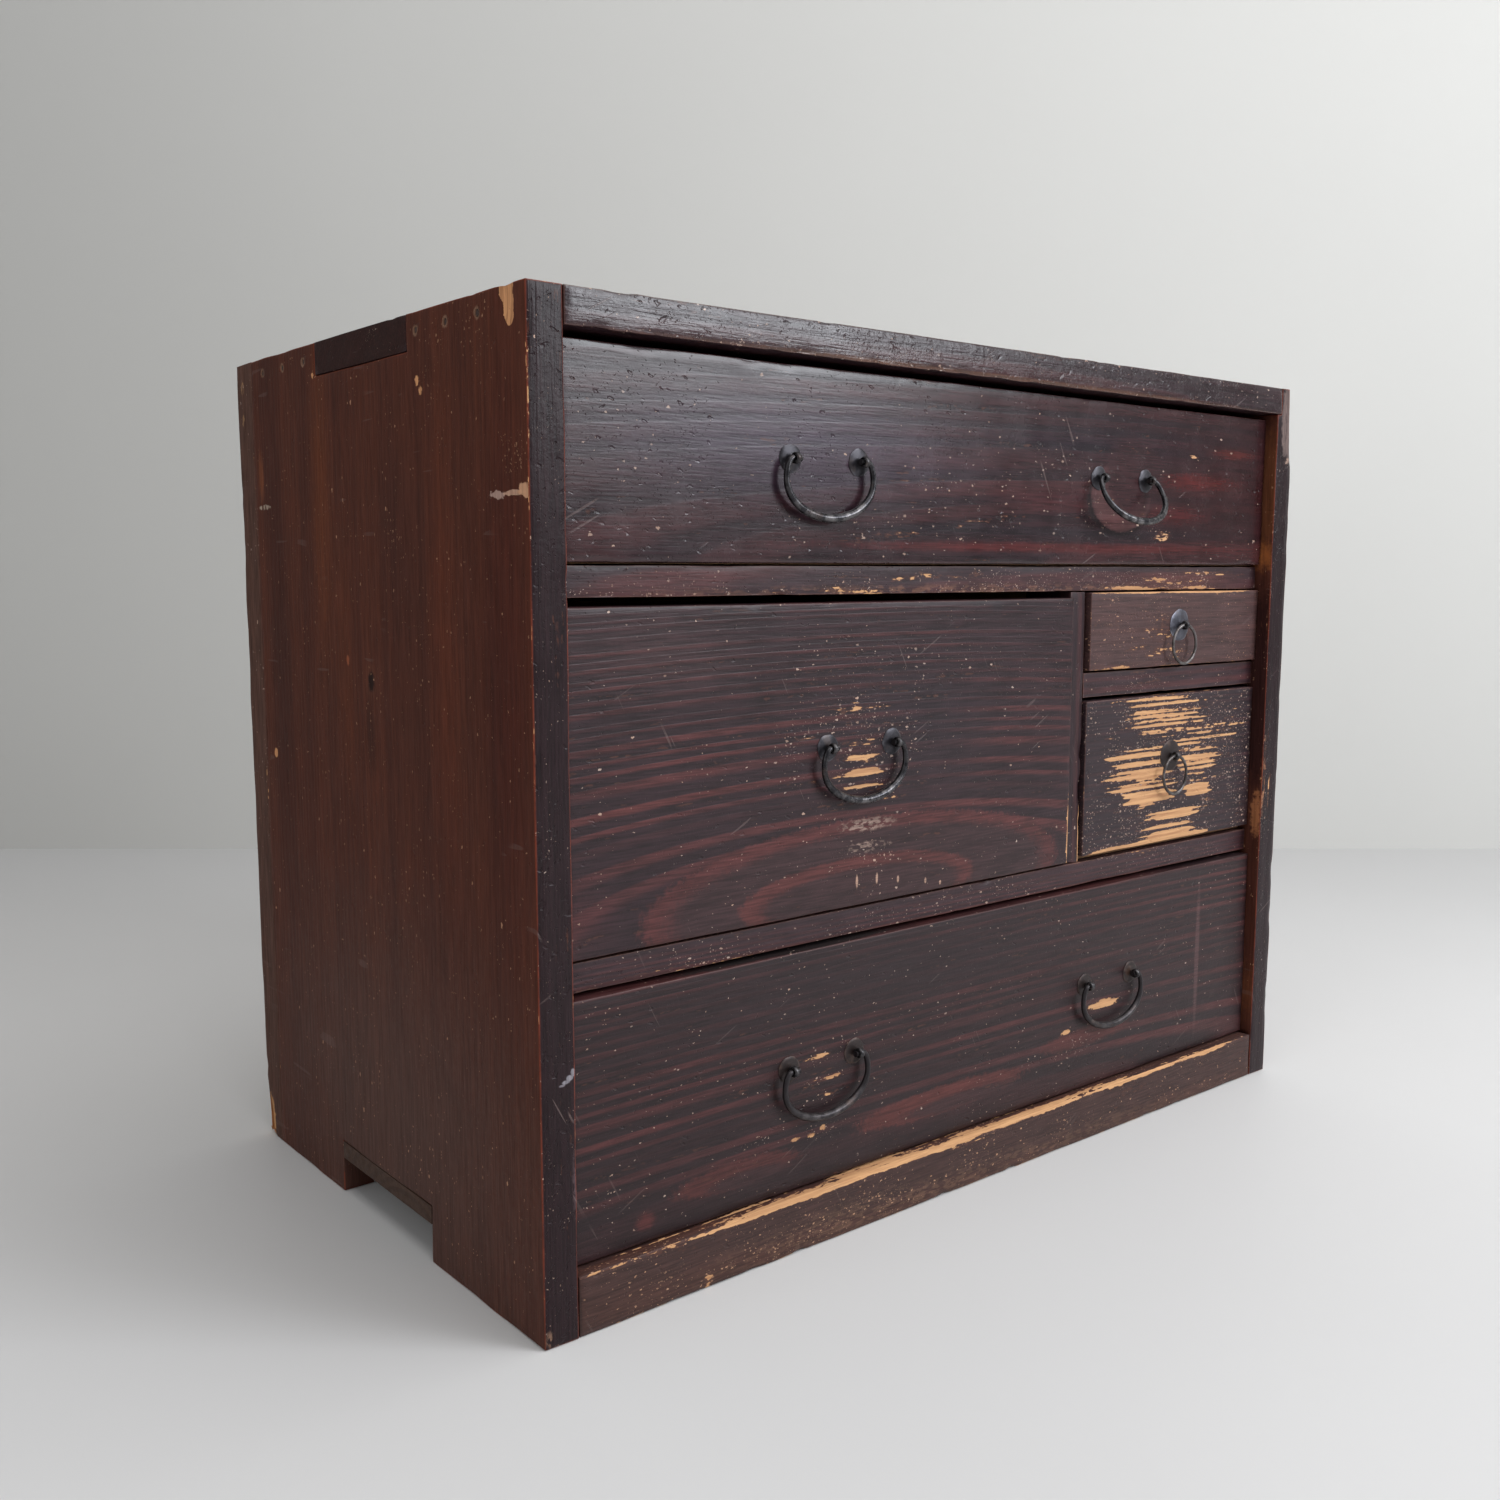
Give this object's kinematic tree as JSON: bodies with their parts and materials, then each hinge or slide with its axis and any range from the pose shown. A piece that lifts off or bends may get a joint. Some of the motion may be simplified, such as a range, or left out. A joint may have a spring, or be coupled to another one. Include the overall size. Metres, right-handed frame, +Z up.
{
  "type": "tansu chest",
  "caption": "Low wooden tansu chest with full-width and part-width drawers in a worn dark lacquer, iron bail handles and ring pulls, and hand notches at the foot of its sides.",
  "frame": {"origin": "below the middle of the closed chest, on the floor; the chest box measured over the one bail that stands out in front", "axes": "+X to the right across the front, +Y from the front to the back, +Z up"},
  "size_m": [0.65, 0.3833, 0.52],
  "materials": {
    "side_lacquer": "worn red-brown lacquer over vertical grain",
    "front_lacquer": "worn near-black lacquer over horizontal grain",
    "bare_wood": "bare aged softwood",
    "peg_wood": "end grain of hardwood pegs",
    "black_iron": "blackened wrought iron, rubbed bright on its edges",
    "worn_iron": "iron wire worn grey"
  },
  "bodies": {
    "carcase": {"left_side": "side_lacquer", "right_side": "side_lacquer", "left_rear_strip": "side_lacquer", "right_rear_strip": "side_lacquer", "top_board": "side_lacquer", "base_board": "bare_wood", "base_rail": "front_lacquer", "upper_rail": "front_lacquer", "lower_rail": "front_lacquer", "short_rail": "front_lacquer", "divider_post": "front_lacquer", "partition": "bare_wood", "upper_shelf": "bare_wood", "lower_shelf": "bare_wood", "small_shelf": "bare_wood", "back_upper": "bare_wood", "back_lower": "bare_wood", "wooden_pegs": "peg_wood"},
    "top_drawer": {"top_drawer_front": "front_lacquer", "top_drawer_left": "bare_wood", "top_drawer_right": "bare_wood", "top_drawer_back": "bare_wood", "top_drawer_bottom": "bare_wood", "top_drawer_plates": "black_iron", "top_drawer_pins": "black_iron"},
    "big_drawer": {"big_drawer_front": "front_lacquer", "big_drawer_left": "bare_wood", "big_drawer_right": "bare_wood", "big_drawer_back": "bare_wood", "big_drawer_bottom": "bare_wood", "big_drawer_plates": "black_iron", "big_drawer_pins": "black_iron"},
    "small_drawer": {"small_drawer_front": "front_lacquer", "small_drawer_left": "bare_wood", "small_drawer_right": "bare_wood", "small_drawer_back": "bare_wood", "small_drawer_bottom": "bare_wood", "small_drawer_plates": "black_iron", "small_drawer_pins": "black_iron"},
    "medium_drawer": {"medium_drawer_front": "front_lacquer", "medium_drawer_left": "bare_wood", "medium_drawer_right": "bare_wood", "medium_drawer_back": "bare_wood", "medium_drawer_bottom": "bare_wood", "medium_drawer_plates": "black_iron", "medium_drawer_pins": "black_iron"},
    "bottom_drawer": {"bottom_drawer_front": "front_lacquer", "bottom_drawer_left": "bare_wood", "bottom_drawer_right": "bare_wood", "bottom_drawer_back": "bare_wood", "bottom_drawer_bottom": "bare_wood", "bottom_drawer_plates": "black_iron", "bottom_drawer_pins": "black_iron"},
    "top_left_bail": {"top_left_bail": "black_iron"},
    "top_right_bail": {"top_right_bail": "black_iron"},
    "big_bail": {"big_bail": "black_iron"},
    "bottom_left_bail": {"bottom_left_bail": "black_iron"},
    "bottom_right_bail": {"bottom_right_bail": "black_iron"},
    "small_ring": {"small_ring": "worn_iron"},
    "medium_ring": {"medium_ring": "worn_iron"}
  },
  "joints": [
    {"name": "top_drawer_slide", "type": "slide", "parent": "carcase", "child": "top_drawer", "axis": [0, -1, 0], "range_m": [0, 0.27]},
    {"name": "big_drawer_slide", "type": "slide", "parent": "carcase", "child": "big_drawer", "axis": [0, -1, 0], "range_m": [0, 0.27]},
    {"name": "small_drawer_slide", "type": "slide", "parent": "carcase", "child": "small_drawer", "axis": [0, -1, 0], "range_m": [0, 0.27]},
    {"name": "medium_drawer_slide", "type": "slide", "parent": "carcase", "child": "medium_drawer", "axis": [0, -1, 0], "range_m": [0, 0.27]},
    {"name": "bottom_drawer_slide", "type": "slide", "parent": "carcase", "child": "bottom_drawer", "axis": [0, -1, 0], "range_m": [0, 0.27]},
    {"name": "top_left_bail_swing", "type": "hinge", "parent": "top_drawer", "child": "top_left_bail", "pos_m": [-0.133, -0.17485, 0.4475], "axis": [-1, 0, 0], "range_deg": [-4, 184]},
    {"name": "top_right_bail_swing", "type": "hinge", "parent": "top_drawer", "child": "top_right_bail", "pos_m": [0.133, -0.17485, 0.4475], "axis": [-1, 0, 0], "range_deg": [-31, 157]},
    {"name": "big_bail_swing", "type": "hinge", "parent": "big_drawer", "child": "big_bail", "pos_m": [-0.1045, -0.17485, 0.2884], "axis": [-1, 0, 0], "range_deg": [-4, 184]},
    {"name": "bottom_left_bail_swing", "type": "hinge", "parent": "bottom_drawer", "child": "bottom_left_bail", "pos_m": [-0.133, -0.17535, 0.1069], "axis": [-1, 0, 0], "range_deg": [-4, 184]},
    {"name": "bottom_right_bail_swing", "type": "hinge", "parent": "bottom_drawer", "child": "bottom_right_bail", "pos_m": [0.133, -0.17535, 0.1069], "axis": [-1, 0, 0], "range_deg": [-4, 184]},
    {"name": "small_ring_swing", "type": "hinge", "parent": "small_drawer", "child": "small_ring", "pos_m": [0.20475, -0.17385, 0.3496], "axis": [-1, 0, 0], "range_deg": [-7, 187]},
    {"name": "medium_ring_swing", "type": "hinge", "parent": "medium_drawer", "child": "medium_ring", "pos_m": [0.19975, -0.17335, 0.25725], "axis": [-1, 0, 0], "range_deg": [-7, 187]}
  ]
}
